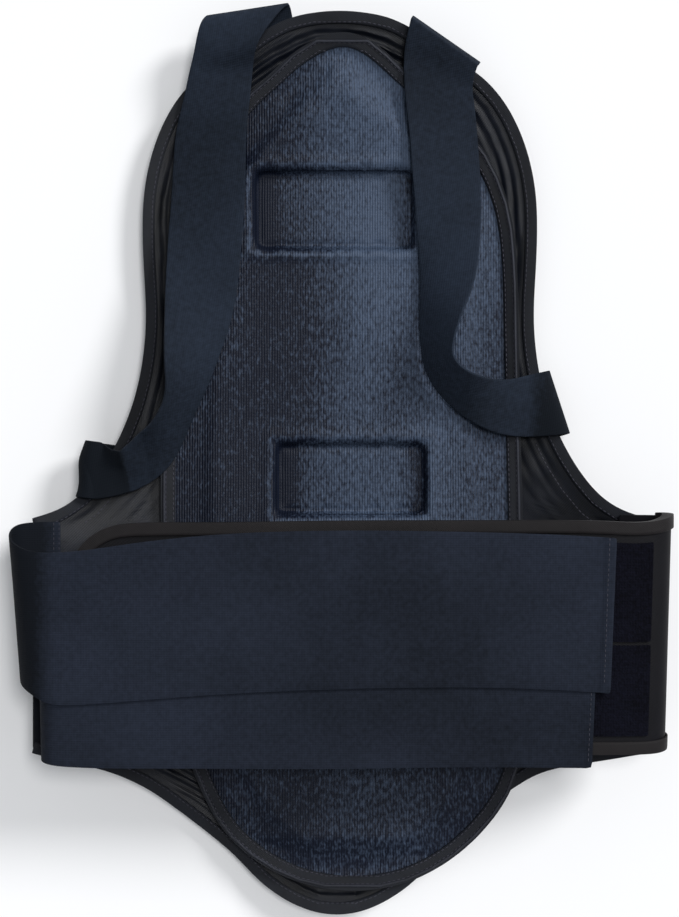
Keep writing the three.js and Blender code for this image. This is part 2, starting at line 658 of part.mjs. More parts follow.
function baseBindings() {
  const upperRim = rimOf(baseBack);
  const lowerRim = rimOf([...baseTail].reverse()).reverse();
  return [
    piece('base_binding_upper', panelTape(upperRim, baseTapeFold, panelOver, panelUnder, false), bindingTape),
    piece('base_binding_lower', panelTape(lowerRim, baseTapeFold, panelOver, panelUnder, false), bindingTape),
  ];
}

// Liner with its windows and tape
function linerPad() {
  const flat = linerTapeFold + linerMargin;
  const grid = {
    edgeSteps: [0, linerTapeFold + 2 * gap, flat + linerRoll / 2, flat + linerRoll],
    middleColumns: 5,
    steepest: 2.2,
  };
  const skins = [linerOver, linerUnder].map((height) => panelSkin(linerRows, grid, height));
  return piece('liner_pad', windows.reduce(pressWindow, slab(...skins)), linerCloth);
}

function linerBinding() {
  const rim = rimOf(linerRows).slice(0, -1);
  return piece('liner_binding', panelTape(rim, linerTapeFold, linerOver, linerUnder, true), bindingTape);
}

function shoulderStrap(name, run) {
  const rows = 2 * (run.length - 1);
  return piece(name, clothSlab(strapSurface(run), wholeCloth, rows, 4, 0, strapThickness), elasticCloth);
}

// Belt layers, counted from the flap's middle outwards
const patchLevel = flapThickness / 2 + gap + patchThickness / 2;
const lowerBandLevel = patchLevel + patchThickness / 2 + gap + bandThickness / 2;
const upperBandLevel = lowerBandLevel + bandThickness + gap;
const flapCloth = beltSurface(flapRun, flapHeight, beltTop, flapThickness / 2, 0);

function beltFlap() {
  return piece('belt_flap', clothSlab(flapCloth, wholeCloth, 38, 5, 0, flapThickness), baseCloth);
}

function flapBinding() {
  const rim = [];
  const alongSteps = 26;
  const endSteps = 3;
  for (let step = 3; step <= alongSteps; step += 1) {
    rim.push({ u: step / alongSteps, v: 0 });
  }
  for (let step = 1; step < endSteps; step += 1) {
    rim.push({ u: 1, v: step / endSteps });
  }
  for (let step = alongSteps; step >= 3; step -= 1) {
    rim.push({ u: step / alongSteps, v: 1 });
  }
  const places = rim.map(({ u, v }) => flapCloth.point(u, v));
  const sections = rim.map(({ u, v }, index) => {
    const before = places[Math.max(index - 1, 0)];
    const after = places[Math.min(index + 1, places.length - 1)];
    const up = flapCloth.normal(Math.min(u, 0.99), v);
    const outward = after.clone().sub(before).cross(up).normalize();
    const middle = flapCloth.point(Math.min(u, 0.97), 0.5);
    if (outward.dot(middle.sub(places[index])) > 0) {
      outward.negate();
    }
    const at = (inward, height) => places[index].clone()
      .addScaledVector(outward, -inward)
      .addScaledVector(up, height);
    const half = flapThickness / 2;
    return tapeSection(at(flapTapeFold, half), at(0, half), at(0, -half), at(flapTapeFold, -half), outward, up);
  });
  return piece('belt_flap_binding', tapeSlab(sections, false), bindingTape);
}

function loopPatch(place) {
  const range = { start: place.runStart, end: place.runEnd, top: place.top, bottom: place.bottom };
  return piece(place.name, clothSlab(flapCloth, range, 9, 2, patchLevel, patchThickness), loopCloth);
}

function beltBand(name, run, drop, rearOffset, frontOffset) {
  const surface = beltSurface(run, bandHeight, beltTop - drop, rearOffset, frontOffset);
  const rows = 2.5 * (run.length - 1);
  return piece(name, clothSlab(surface, wholeCloth, Math.round(rows), 3, 0, bandThickness), elasticCloth);
}

const protector = new THREE.Group();
protector.add(
  basePanel(),
  ...baseBindings(),
  linerPad(),
  linerBinding(),
  shoulderStrap('shoulder_strap_left', leftStrapRun),
  shoulderStrap('shoulder_strap_right', rightStrapRun),
  beltFlap(),
  flapBinding(),
  ...patches.map(loopPatch),
  beltBand('belt_elastic_upper', upperBandRun, upperBandDrop, bandThickness / 2, upperBandLevel),
  beltBand('belt_elastic_lower', lowerBandRun, lowerBandDrop, bandThickness * 1.5 + gap, lowerBandLevel),
);

// The origin is under the middle of the whole, on the floor
const box = new THREE.Box3().setFromObject(protector);
const middle = box.getCenter(new THREE.Vector3());
protector.position.set(-middle.x, -middle.y, -box.min.z);

export default protector;
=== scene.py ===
import math

import bpy
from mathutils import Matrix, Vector, kdtree, noise


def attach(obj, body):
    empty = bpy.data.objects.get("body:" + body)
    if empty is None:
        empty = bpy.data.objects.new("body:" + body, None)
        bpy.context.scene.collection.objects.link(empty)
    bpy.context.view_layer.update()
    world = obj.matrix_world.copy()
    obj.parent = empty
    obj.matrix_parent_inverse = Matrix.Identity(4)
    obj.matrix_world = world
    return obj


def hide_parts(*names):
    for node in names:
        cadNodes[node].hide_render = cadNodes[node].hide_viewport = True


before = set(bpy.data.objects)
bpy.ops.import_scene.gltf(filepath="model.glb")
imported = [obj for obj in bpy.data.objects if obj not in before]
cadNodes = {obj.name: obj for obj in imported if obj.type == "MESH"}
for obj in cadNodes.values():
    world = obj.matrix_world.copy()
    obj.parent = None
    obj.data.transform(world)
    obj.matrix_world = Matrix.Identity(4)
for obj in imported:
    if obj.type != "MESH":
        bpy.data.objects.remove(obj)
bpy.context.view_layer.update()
print("frame loaded:", len(cadNodes), "solids")

mm = 0.001


def chooseOnly(piece):
    bpy.ops.object.select_all(action="DESELECT")
    piece.select_set(True)
    bpy.context.view_layer.objects.active = piece


def applyModifier(piece, kind, **settings):
    modifier = piece.modifiers.new(kind.title(), kind)
    for name, value in settings.items():
        setattr(modifier, name, value)
    chooseOnly(piece)
    bpy.ops.object.modifier_apply(modifier=modifier.name)


def smoothShade(piece, degrees):
    chooseOnly(piece)
    bpy.ops.object.shade_smooth_by_angle(angle=math.radians(degrees))


sameCorner = 0.01 * mm


# a copy of a solid's mesh with its doubled corners merged, left in edit mode with all of it selected
def openCopy(node):
    piece = bpy.data.objects.new(node + "_cloth", cadNodes[node].data.copy())
    bpy.context.collection.objects.link(piece)
    piece.data.name = piece.name
    piece.data.materials.clear()
    chooseOnly(piece)
    bpy.ops.mesh.customdata_custom_splitnormals_clear()
    bpy.ops.object.mode_set(mode="EDIT")
    bpy.ops.mesh.select_all(action="SELECT")
    bpy.ops.mesh.remove_doubles(threshold=sameCorner)
    return piece


quadLook = {"face": 40, "shape": 70, "shadeAngle": 60}


# a thin cloth starts as a copy of its solid, turned to quads and smoothed, with firm rims
def clothCopy(node, look):
    piece = openCopy(node)
    bpy.ops.mesh.tris_convert_to_quads(face_threshold=math.radians(quadLook["face"]),
                                       shape_threshold=math.radians(quadLook["shape"]))
    bpy.ops.mesh.select_mode(type="EDGE")
    bpy.ops.mesh.select_all(action="DESELECT")
    bpy.ops.mesh.edges_select_sharp(sharpness=math.radians(look["rimAngle"]))
    bpy.ops.object.mode_set(mode="OBJECT")
    rims = [edge.index for edge in piece.data.edges if edge.select]
    firm = piece.data.attributes.new("crease_edge", "FLOAT", "EDGE")
    for index in rims:
        firm.data[index].value = look["rimFirmness"]
    applyModifier(piece, "SUBSURF", levels=look["smoothing"], render_levels=look["smoothing"])
    smoothShade(piece, quadLook["shadeAngle"])
    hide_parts(node)
    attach(piece, "root")
    return piece


rimLook = {"rowSpacing": 0.05 * mm, "step": 1.5 * mm}


# the rim of a panel in plan, read from its solid row by row, as a closed run of points
def planRim(node, skipRow):
    rows = {}
    for vertex in cadNodes[node].data.vertices:
        rows.setdefault(round(vertex.co.y / rimLook["rowSpacing"]), []).append(vertex.co)
    left, right = [], []
    for key in sorted(rows):
        low = min(rows[key], key=lambda co: co.x)
        high = max(rows[key], key=lambda co: co.x)
        if not skipRow(low.y, high.x - low.x):
            left.append(Vector((low.x, low.y, 0)))
            right.append(Vector((high.x, high.y, 0)))
    return densely(right + left[::-1], rimLook["step"])


def densely(points, step):
    run = []
    for first, second in zip(points, points[1:] + points[:1]):
        pieces = max(1, round((second - first).length / step))
        run += [first.lerp(second, part / pieces) for part in range(pieces)]
    return run


# how far a place lies inside a rim, and how far along the rim its nearest point is
class RimField:
    def __init__(self, rim):
        self.rim = rim
        self.tree = kdtree.KDTree(len(rim))
        self.along = [0]
        for index, point in enumerate(rim):
            self.tree.insert(point, index)
        self.tree.balance()
        for first, second in zip(rim, rim[1:]):
            self.along.append(self.along[-1] + (second - first).length)

    def read(self, place):
        point, index, distance = self.tree.find(Vector((place.x, place.y, 0)))
        return distance, self.along[index]

    # the same run moved inwards, without the loops that tight curves would give
    def inset(self, amount, neighbour=2, leastShare=0.93):
        count = len(self.rim)
        moved = []
        for index, point in enumerate(self.rim):
            along = self.rim[(index + neighbour) % count] - self.rim[index - neighbour]
            inward = Vector((-along.y, along.x, 0)).normalized()
            place = point + inward * amount
            if self.tree.find(place)[2] > leastShare * amount:
                moved.append(place)
        return moved


def fade(value, low, high):
    share = min(max((value - low) / (high - low), 0), 1)
    return share * share * (3 - 2 * share)


def mix(first, last, share):
    return first + share * (last - first)


# read before any is moved, because a move makes Blender work out all the normals again
def facingUp(piece, least):
    return [vertex for vertex in piece.data.vertices if vertex.normal.z >= least]


# smooth noise from -1 to 1, over shares of the lengths wanted; a layer of its own keeps each effect apart
def drift(x, y=0, layer=0):
    return noise.noise(Vector((x, y, layer)))


# points on a piece straight under or over the given places
def dropOnto(piece, places, lift, fromBelow=False, startHeight=300 * mm):
    side = -1 if fromBelow else 1
    found = []
    for place in places:
        start = Vector((place.x, place.y, side * startHeight))
        hit, where, normal, face = piece.ray_cast(start, Vector((0, 0, -side)))
        if hit:
            found.append(where + Vector((0, 0, side * lift)))
    return found


# cuts a run of points where it jumps, and leaves out what is too short for a seam
def runsOf(points, jump=12 * mm, fewest=4):
    runs, run = [], []
    for point in points:
        if run and (point - run[-1]).length > jump:
            runs.append(run)
            run = []
        run.append(point)
    runs.append(run)
    return [run for run in runs if len(run) >= fewest]


thread = {"length": 2.4 * mm, "width": 0.6 * mm, "height": 0.45 * mm, "pitch": 3.0 * mm}
bandThread = {"length": 2.2 * mm, "width": 0.5 * mm, "height": 0.3 * mm, "pitch": 2.9 * mm}


# a line of straight pieces from place to place, with the object that holds it
def curveThrough(name, places):
    path = bpy.data.curves.new(name, "CURVE")
    path.dimensions = "3D"
    line = path.splines.new("POLY")
    line.points.add(len(places) - 1)
    for point, place in zip(line.points, places):
        point.co = (*place, 1)
    guide = bpy.data.objects.new(name, path)
    bpy.context.collection.objects.link(guide)
    return guide, line


# one stitch is modelled, repeated along each run of the points and bent to it
def stitchRow(name, points, look=thread):
    lines = []
    for run in runsOf(points):
        guide, line = curveThrough(name + "_guide", run)
        guide.data.twist_mode = "Z_UP"
        bpy.ops.object.select_all(action="DESELECT")
        bpy.ops.mesh.primitive_uv_sphere_add(segments=6, ring_count=4, radius=0.5)
        bead = bpy.context.active_object
        bpy.ops.object.mode_set(mode="EDIT")
        bpy.ops.mesh.select_all(action="SELECT")
        bpy.ops.transform.resize(value=(look["length"], look["width"], look["height"]))
        bpy.ops.object.mode_set(mode="OBJECT")
        applyModifier(bead, "ARRAY", fit_type="FIT_CURVE", curve=guide, use_relative_offset=False,
                      use_constant_offset=True, constant_offset_displace=(look["pitch"], 0, 0))
        applyModifier(bead, "CURVE", object=guide, deform_axis="POS_X")
        bpy.data.objects.remove(guide)
        lines.append(bead)
    chooseOnly(lines[0])
    for bead in lines:
        bead.select_set(True)
    if len(lines) > 1:
        bpy.ops.object.join()
    row = bpy.context.active_object
    row.name = name
    row.data.name = name
    smoothShade(row, 80)
    row.data.materials.append(threadYarn)
    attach(row, "root")


# shared surface effects
def newGroup(name, inputs, outputs):
    group = bpy.data.node_groups.new(name, "ShaderNodeTree")
    for label, kind, value in inputs:
        socket = group.interface.new_socket(label, in_out="INPUT", socket_type=kind)
        if value is not None:
            socket.default_value = value
    for label, kind in outputs:
        group.interface.new_socket(label, in_out="OUTPUT", socket_type=kind)
    return group, group.nodes.new("NodeGroupInput"), group.nodes.new("NodeGroupOutput")


def math2(tree, operation, first, second):
    node = tree.nodes.new("ShaderNodeMath")
    node.operation = operation
    for socket, value in zip(node.inputs, (first, second)):
        if isinstance(value, (int, float)):
            socket.default_value = value
        else:
            tree.links.new(value, socket)
    return node.outputs[0]


def noiseNode(tree, place, detail, scale=None):
    node = tree.nodes.new("ShaderNodeTexNoise")
    node.inputs["Detail"].default_value = detail
    if scale is not None:
        node.inputs["Scale"].default_value = scale
    tree.links.new(place, node.inputs["Vector"])
    return node


# a wave along one coordinate: its length is given in millimetres
def waveAlong(tree, coordinate, pitch, bend=0):
    turns = math2(tree, "DIVIDE", math2(tree, "MULTIPLY", coordinate, 1 / mm), pitch)
    return math2(tree, "SINE", math2(tree, "MULTIPLY", math2(tree, "ADD", turns, bend), 2 * math.pi), 0)


ribNoise = {"swayScale": 60, "swayDetail": 2, "fibreScale": 900, "fibreDetail": 3}


# ribs that run along Y, cross threads along X, and loose fibres, as one height
def makeRibs(look):
    group, given, result = newGroup(
        "clothRibs",
        [("Vector", "NodeSocketVector", None), ("Rib Pitch", "NodeSocketFloat", 2.0),
         ("Rib Height", "NodeSocketFloat", 1.0), ("Thread Pitch", "NodeSocketFloat", 1.0),
         ("Thread Height", "NodeSocketFloat", 0.3), ("Fibre Height", "NodeSocketFloat", 0.3),
         ("Waver", "NodeSocketFloat", 0.3)],
        [("Height", "NodeSocketFloat"), ("Rib", "NodeSocketFloat")])
    link = group.links.new
    split = group.nodes.new("ShaderNodeSeparateXYZ")
    link(given.outputs["Vector"], split.inputs[0])
    sway = noiseNode(group, given.outputs["Vector"], look["swayDetail"], look["swayScale"])
    bend = math2(group, "MULTIPLY", math2(group, "SUBTRACT", sway.outputs[0], 0.5), given.outputs["Waver"])
    rib = waveAlong(group, split.outputs[0], given.outputs["Rib Pitch"], bend)
    rib = math2(group, "MULTIPLY", math2(group, "ADD", rib, 1), 0.5)
    threads = waveAlong(group, split.outputs[1], given.outputs["Thread Pitch"])
    fibre = noiseNode(group, given.outputs["Vector"], look["fibreDetail"], look["fibreScale"])
    height = math2(group, "MULTIPLY", rib, given.outputs["Rib Height"])
    height = math2(group, "ADD", height, math2(group, "MULTIPLY", threads, given.outputs["Thread Height"]))
    fibres = math2(group, "MULTIPLY", fibre.outputs[0], given.outputs["Fibre Height"])
    height = math2(group, "ADD", height, fibres)
    link(height, result.inputs["Height"])
    link(rib, result.inputs["Rib"])
    return group


shadeNoise = {"cloudDetail": 3, "cloudShare": 0.8, "fleckDetail": 2, "darkest": 0.15, "lightest": 0.75}


# cloudy colour changes with fine flecks over them
def makeShades(look):
    group, given, result = newGroup(
        "clothShades",
        [("Vector", "NodeSocketVector", None), ("Dark", "NodeSocketColor", (0, 0, 0, 1)),
         ("Light", "NodeSocketColor", (1, 1, 1, 1)), ("Cloud Scale", "NodeSocketFloat", 12.0),
         ("Fleck Scale", "NodeSocketFloat", 700.0), ("Fleck", "NodeSocketFloat", 0.5),
         ("Lift", "NodeSocketFloat", 0.0)],
        [("Color", "NodeSocketColor")])
    link = group.links.new
    cloud = noiseNode(group, given.outputs["Vector"], look["cloudDetail"])
    link(given.outputs["Cloud Scale"], cloud.inputs["Scale"])
    fleck = noiseNode(group, given.outputs["Vector"], look["fleckDetail"])
    link(given.outputs["Fleck Scale"], fleck.inputs["Scale"])
    spots = math2(group, "MULTIPLY", math2(group, "SUBTRACT", fleck.outputs[0], 0.5), given.outputs["Fleck"])
    mask = math2(group, "ADD", math2(group, "MULTIPLY", cloud.outputs[0], look["cloudShare"]), spots)
    # Lift carries painted light: it moves the colour towards dark for painted shade and towards light for
    # painted sheen
    mask = math2(group, "ADD", mask, given.outputs["Lift"])
    ramp = group.nodes.new("ShaderNodeMapRange")
    ramp.inputs["From Min"].default_value = look["darkest"]
    ramp.inputs["From Max"].default_value = look["lightest"]
    link(mask, ramp.inputs["Value"])
    blend = group.nodes.new("ShaderNodeMix")
    blend.data_type = "RGBA"
    link(ramp.outputs[0], blend.inputs[0])
    link(given.outputs["Dark"], blend.inputs[6])
    link(given.outputs["Light"], blend.inputs[7])
    link(blend.outputs[2], result.inputs["Color"])
    return group


clothRibs = makeRibs(ribNoise)
clothShades = makeShades(shadeNoise)


# a colour from its screen values, of 255
def shade(red, green, blue):
    straight = [(part / 255 / 12.92) if part < 11 else ((part / 255 + 0.055) / 1.055) ** 2.4
                for part in (red, green, blue)]
    return (*straight, 1)


# a cloth finish from one dictionary: turn is the ribs' direction in plan, in degrees, and a cloth with
# painted light reads from its mesh how much painted shade or painted sheen it gets where
def clothFinish(name, look):
    finish = bpy.data.materials.new(name)
    finish.use_nodes = True
    finish.diffuse_color = look["light"]
    tree = finish.node_tree
    link = tree.links.new
    surface = tree.nodes["Principled BSDF"]
    surface.inputs["Roughness"].default_value = look["roughness"]
    surface.inputs["Specular IOR Level"].default_value = look["gloss"]
    surface.inputs["Sheen Weight"].default_value = look["sheen"]
    surface.inputs["Sheen Roughness"].default_value = look["sheenRoughness"]
    surface.inputs["Sheen Tint"].default_value = look["light"]
    place = tree.nodes.new("ShaderNodeTexCoord")
    turned = tree.nodes.new("ShaderNodeMapping")
    turned.inputs["Rotation"].default_value = (0, 0, math.radians(look["turn"]))
    link(place.outputs["Object"], turned.inputs["Vector"])
    ribs = tree.nodes.new("ShaderNodeGroup")
    ribs.node_tree = clothRibs
    link(turned.outputs[0], ribs.inputs["Vector"])
    for label in ("Rib Pitch", "Rib Height", "Thread Pitch", "Thread Height", "Fibre Height", "Waver"):
        ribs.inputs[label].default_value = look[label]
    shades = tree.nodes.new("ShaderNodeGroup")
    shades.node_tree = clothShades
    stretched = tree.nodes.new("ShaderNodeMapping")
    stretched.inputs["Scale"].default_value = look["fleckStretch"]
    link(turned.outputs[0], stretched.inputs["Vector"])
    link(stretched.outputs[0], shades.inputs["Vector"])
    shades.inputs["Dark"].default_value = look["dark"]
    shades.inputs["Light"].default_value = look["light"]
    for label in ("Cloud Scale", "Fleck Scale", "Fleck"):
        shades.inputs[label].default_value = look[label]
    # painted shade: the hollows between ribs are darker
    hollows = tree.nodes.new("ShaderNodeMapRange")
    hollows.inputs["To Min"].default_value = 1 - look["ribPaintedShade"]
    link(ribs.outputs["Rib"], hollows.inputs["Value"])
    shaded = tree.nodes.new("ShaderNodeMix")
    shaded.data_type = "RGBA"
    shaded.blend_type = "MULTIPLY"
    shaded.inputs[0].default_value = 1
    link(shades.outputs["Color"], shaded.inputs[6])
    link(hollows.outputs[0], shaded.inputs[7])
    link(shaded.outputs[2], surface.inputs["Base Color"])
    bump = tree.nodes.new("ShaderNodeBump")
    bump.inputs["Strength"].default_value = look["bump"]
    bump.inputs["Distance"].default_value = look["bumpDepth"]
    link(ribs.outputs["Height"], bump.inputs["Height"])
    link(bump.outputs[0], surface.inputs["Normal"])
    # painted light: an attribute of the mesh darkens the colour where shade is painted and lightens it where
    # sheen is painted
    if look["paintedLight"]:
        paintedLight = tree.nodes.new("ShaderNodeAttribute")
        paintedLight.attribute_name = "paintedLight"
        link(paintedLight.outputs["Fac"], shades.inputs["Lift"])
    return finish


# what most of the cloths share
plainCloth = {"sheen": 0, "sheenRoughness": 0.4, "turn": 0, "Waver": 0.1, "fleckStretch": (1, 1, 1),
              "paintedLight": False, "bump": 0.5, "bumpDepth": 0.2 * mm}
tapeWeave = {**plainCloth, "turn": 45, "Rib Pitch": 0.7, "Rib Height": 0.6, "Thread Pitch": 0.7,
             "Thread Height": 0.5, "Fibre Height": 0.4, "Cloud Scale": 25, "Fleck Scale": 600, "Fleck": 0.4,
             "ribPaintedShade": 0.15, "roughness": 0.6}
elasticWeave = {**plainCloth, "Rib Pitch": 1.3, "Rib Height": 0.6, "Thread Pitch": 0.9, "Thread Height": 0.35,
                "Fibre Height": 0.6, "Cloud Scale": 9, "Fleck Scale": 350, "Fleck": 0.35, "ribPaintedShade": 0.14,
                "roughness": 0.85, "gloss": 0.12, "paintedLight": True}
panelWeave = {**plainCloth, "Rib Pitch": 0.8, "Thread Pitch": 0.8, "Thread Height": 0.3, "Cloud Scale": 30,
              "Fleck Scale": 500, "Fleck": 0.5, "ribPaintedShade": 0.1}

baseCloth = clothFinish("baseCloth", {
    **panelWeave, "dark": shade(4, 6, 11), "light": shade(14, 19, 31), "roughness": 0.42, "gloss": 0.2,
    "turn": 30, "Rib Height": 0.15, "Fibre Height": 0.9})
flapCloth = clothFinish("flapCloth", {
    **panelWeave, "dark": shade(6, 6, 10), "light": shade(13, 13, 19), "roughness": 0.55, "gloss": 0.12,
    "turn": 20, "Rib Height": 0.4, "Fibre Height": 0.5})
linerCloth = clothFinish("linerCloth", {
    **plainCloth, "dark": shade(16, 22, 37), "light": shade(70, 83, 104), "roughness": 0.48, "gloss": 0.16,
    "sheen": 0.03, "Rib Pitch": 1.55, "Rib Height": 1.0, "Thread Pitch": 0.9, "Thread Height": 0.08,
    "Fibre Height": 0.7, "Waver": 0.35, "Cloud Scale": 5, "Fleck Scale": 520, "Fleck": 1.35,
    "fleckStretch": (1.4, 0.6, 1), "ribPaintedShade": 0.3, "bump": 0.7, "bumpDepth": 0.35 * mm, "paintedLight": True})
bindingTape = clothFinish("bindingTape", {
    **tapeWeave, "dark": shade(7, 9, 15), "light": shade(20, 25, 36), "gloss": 0.25})
flapTapeCloth = clothFinish("flapTapeCloth", {
    **tapeWeave, "dark": shade(11, 9, 11), "light": shade(29, 25, 27), "gloss": 0.2})
# the corded edge is lighter than the tape it edges: a painted highlight
pipingTape = clothFinish("pipingTape", {
    **tapeWeave, "dark": shade(26, 28, 35), "light": shade(46, 49, 60), "roughness": 0.55, "gloss": 0.3,
    "Cloud Scale": 40, "Fleck": 0.5})
elasticCloth = clothFinish("elasticCloth", {
    **elasticWeave, "dark": shade(13, 17, 24), "light": shade(40, 46, 60), "turn": 90})
strapCloth = clothFinish("strapCloth", {
    **elasticWeave, "dark": shade(13, 18, 25), "light": shade(42, 51, 66), "turn": 8})
loopPile = clothFinish("loopPile", {
    **plainCloth, "dark": shade(5, 5, 11), "light": shade(15, 16, 27), "roughness": 0.95, "gloss": 0.08,
    "sheen": 0.04, "Rib Pitch": 1.6, "Rib Height": 0.2, "Thread Pitch": 1.6, "Thread Height": 0.1,
    "Fibre Height": 1.6, "Waver": 1.0, "Cloud Scale": 30, "Fleck Scale": 500, "Fleck": 0.9, "ribPaintedShade": 0.05,
    "bump": 0.9, "bumpDepth": 0.5 * mm})
threadYarn = clothFinish("threadYarn", {
    **plainCloth, "dark": shade(44, 44, 53), "light": shade(70, 70, 82), "roughness": 0.6, "gloss": 0.3,
    "Rib Pitch": 0.5, "Rib Height": 0.4, "Thread Pitch": 0.5, "Thread Height": 0.2, "Fibre Height": 0.2,
    "Cloud Scale": 60, "Fleck Scale": 900, "Fleck": 0.3, "ribPaintedShade": 0.1, "bump": 0.3, "bumpDepth": 0.1 * mm})
print("finishes made")


# bound panel: its border gathers into soft ridges between the two tapes
basePanelLook = {"rimAngle": 50, "rimFirmness": 0.9, "smoothing": 3,
                 "ridgeStart": 7 * mm, "fadeIn": 3 * mm, "ridgeEnd": 26 * mm, "fadeOut": 14 * mm,
                 "ridgePitch": 6.5 * mm, "ridgeHeight": 1.0 * mm, "crestSharpness": 2, "crestLevel": 0.75,
                 "strength": 0.85, "strengthChange": 0.5, "strengthLength": 60 * mm,
                 "drift": 3.2, "driftLength": 45 * mm, "fineDrift": 1.6, "fineDriftLength": 30 * mm,
                 "puckerHeight": 0.55 * mm, "puckerPitch": 9 * mm, "puckerWidth": 20 * mm,
                 "wingFrom": 108 * mm, "wingFade": 30 * mm, "wingSmoothness": 0.92,
                 "waveHeight": 1.8 * mm, "waveLengths": (35 * mm, 30 * mm)}
# the rows of a solid that aren't used for its rim: those at its pointed ends and those of the liner's windows
rowLimits = {"point": 6 * mm, "windows": 150 * mm, "from": -40 * mm, "to": 180 * mm}


def panelRow(y, width):
    return width < rowLimits["point"]


def linerRow(y, width):
    atWindows = rowLimits["from"] < y < rowLimits["to"] and width < rowLimits["windows"]
    return atWindows or width < rowLimits["point"]


baseRim = RimField(planRim("base_panel", panelRow))
linerRim = RimField(planRim("liner_pad", linerRow))


def gatherBorder(piece, look):
    for vertex in facingUp(piece, 0.4):
        place = vertex.co
        inside, along = baseRim.read(place)
        weight = fade(inside, look["ridgeStart"], look["ridgeStart"] + look["fadeIn"])
        weight *= fade(look["ridgeEnd"] + look["fadeOut"] - inside, 0, look["fadeOut"])
        if weight <= 0:
            continue
        shift = look["drift"] * drift(along / look["driftLength"])
        shift += look["fineDrift"] * noise.noise(place / look["fineDriftLength"])
        # narrow crests and wide hollows
        crest = 0.5 + 0.5 * math.sin(2 * math.pi * inside / look["ridgePitch"] + shift)
        ridge = 2 * crest ** look["crestSharpness"] - look["crestLevel"]
        strength = look["strength"] + look["strengthChange"] * drift(along / look["strengthLength"], 5)
        pucker = drift(along / look["puckerPitch"], inside / look["puckerWidth"], 2)
        ridges = look["ridgeHeight"] * strength * ridge + look["puckerHeight"] * pucker
        # the wings are smoother, with slow folds
        wing = fade(abs(place.x), look["wingFrom"], look["wingFrom"] + look["wingFade"])
        waveAcross, waveDown = look["waveLengths"]
        wave = drift(place.x / waveAcross, place.y / waveDown, 8)
        place.z += weight * (ridges * (1 - look["wingSmoothness"] * wing) + look["waveHeight"] * wing * wave)


basePanel = clothCopy("base_panel", basePanelLook)
gatherBorder(basePanel, basePanelLook)
basePanel.data.materials.append(baseCloth)
print("panel done")

# tapes: each a copy of its solid, which lies folded over an edge, with small puckers
tapeLook = {"rimAngle": 50, "rimFirmness": 0.75, "smoothing": 2,
            "puckerHeight": 0.35 * mm, "puckerPitch": 6 * mm}


def tape(node, finish):
    piece = clothCopy(node, tapeLook)
    for vertex in piece.data.vertices:
        vertex.co.z += tapeLook["puckerHeight"] * noise.noise(vertex.co / tapeLook["puckerPitch"])
    piece.data.materials.append(finish)
    return piece


upperTape = tape("base_binding_upper", bindingTape)
lowerTape = tape("base_binding_lower", bindingTape)
linerTape = tape("liner_binding", bindingTape)
flapTape = tape("belt_flap_binding", flapTapeCloth)
print("tapes done")

# padded liner with its ribbed cloth
linerLook = {"voxel": 1.55 * mm, "smoothShare": 0.5, "smoothPasses": 5,
             "dentHeight": 0.6 * mm, "dentLength": 55 * mm, "dentsFrom": (12 * mm, 22 * mm),
             "creaseX": -9 * mm, "creaseY": 176 * mm, "creaseFade": 12 * mm,
             "creaseDepth": 0.35 * mm, "creaseWidth": 1.3 * mm}
# the seams round the windows: a groove inside each edge and a lip outside it, with gathers above and below
windowSeam = {"reach": 15 * mm, "grooveDepth": 1.6 * mm, "grooveWidth": 2.2 * mm, "groovePlace": -2 * mm,
              "lipHeight": 0.9 * mm, "lipWidth": 2.86 * mm, "lipPlace": 4.5 * mm,
              "waver": 1.8 * mm, "sideWaver": 0.72 * mm, "waverLength": 8 * mm,
              "gatherHeight": 0.7 * mm, "gatherPitch": 4.5 * mm, "gatherLength": 30 * mm,
              "gatherReach": 9 * mm, "gatherEnds": 4 * mm}
# where the liner gets painted shade and painted sheen: across and along the back, then at the windows
paintedLightLook = {"across": (-55 * mm, 25 * mm), "along": (-230 * mm, -20 * mm), "paintedShade": -0.24, "bright": 0.15,
           "rightFade": 0.3, "right": (45 * mm, 90 * mm), "top": 0.14, "topFrom": (60 * mm, 160 * mm),
           "sweeps": 0.16, "sweepLengths": (50 * mm, 90 * mm), "crease": 0.105}
windowPaintedLight = {"lips": 0.42, "dimLips": 0.126, "lipPlace": 3.5 * mm, "lipWidth": 1.0 * mm,
             "inside": 0.1, "ends": -0.42, "endReach": 20 * mm, "endFade": 2 * mm}
windowPlaces = [  # middle in plan, width and height, and the layer of the noise that its seam takes
    {"x": -4.4 * mm, "y": 150.5 * mm, "width": 96 * mm, "height": 47 * mm, "layer": 10.535},
    {"x": 5.2 * mm, "y": -11.3 * mm, "width": 90 * mm, "height": 43 * mm, "layer": -0.791},
]


def bell(value, width):
    return math.exp(-(value / width) ** 2)
